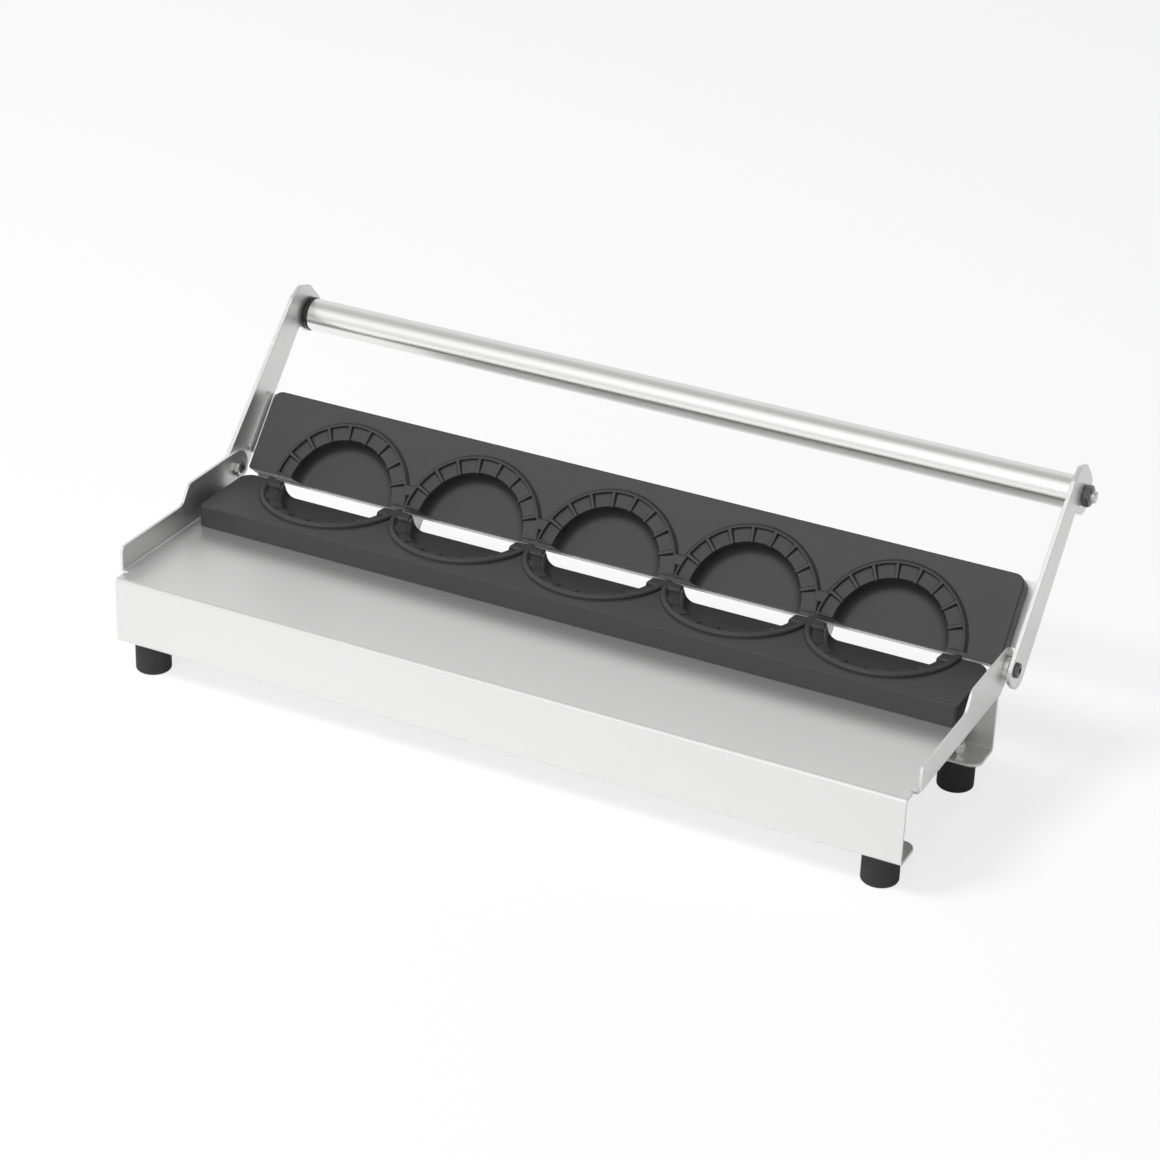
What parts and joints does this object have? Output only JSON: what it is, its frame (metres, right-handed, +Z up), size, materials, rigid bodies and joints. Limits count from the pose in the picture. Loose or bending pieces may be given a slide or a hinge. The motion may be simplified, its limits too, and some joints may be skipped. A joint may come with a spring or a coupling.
{
  "type": "dumpling maker",
  "caption": "Hinged hand press that folds and crimps a row of filled dumplings, with a folded steel base, half-bowl mould plates, side arms and a roller handle.",
  "frame": {"origin": "on the floor under the middle of the whole outline, lid open", "axes": "+X to the user's right along the hinge, +Y away from the user, +Z up"},
  "size_m": [0.597, 0.2766, 0.1875],
  "materials": {
    "stainless": "fine brushed, satin",
    "stainless_tube": "polished along its length",
    "mould_plastic": "satin black",
    "bush_plastic": "satin black",
    "foot_rubber": "matt black",
    "bright_fastener": "plain zinc",
    "dark_fastener": "blackened"
  },
  "bodies": {
    "base": {"base_tray": "stainless", "lower_die": "mould_plastic", "lower_die_screws": "bright_fastener", "lower_die_washers": "bright_fastener", "foot_front_left": "foot_rubber", "foot_front_right": "foot_rubber", "foot_rear_left": "foot_rubber", "foot_rear_right": "foot_rubber", "foot_screws": "bright_fastener", "foot_washers": "bright_fastener", "foot_dome_nuts": "bright_fastener", "pivot_screw_left": "dark_fastener", "pivot_washer_left": "bright_fastener", "pivot_nut_left": "bright_fastener", "pivot_screw_right": "dark_fastener", "pivot_washer_right": "bright_fastener", "pivot_nut_right": "bright_fastener"},
    "lid": {"lid_back_plate": "stainless", "upper_die": "mould_plastic", "upper_die_screws": "bright_fastener", "upper_die_washers": "bright_fastener", "tie_rod": "bright_fastener", "arm_left": "stainless", "arm_right": "stainless", "tie_rod_nut_left": "dark_fastener", "tie_rod_nut_right": "dark_fastener"},
    "grip": {"handle_tube": "stainless_tube", "handle_bush_left": "bush_plastic", "handle_bush_right": "bush_plastic"}
  },
  "joints": [
    {"name": "lid_hinge", "type": "hinge", "parent": "base", "child": "lid", "pos_m": [0, 0.0162, 0.0858], "axis": [1, 0, 0], "range_deg": [0, 130]},
    {"name": "grip_roll", "type": "hinge", "parent": "lid", "child": "grip", "pos_m": [0, 0.12267, 0.1629], "axis": [1, 0, 0], "continuous": true}
  ]
}
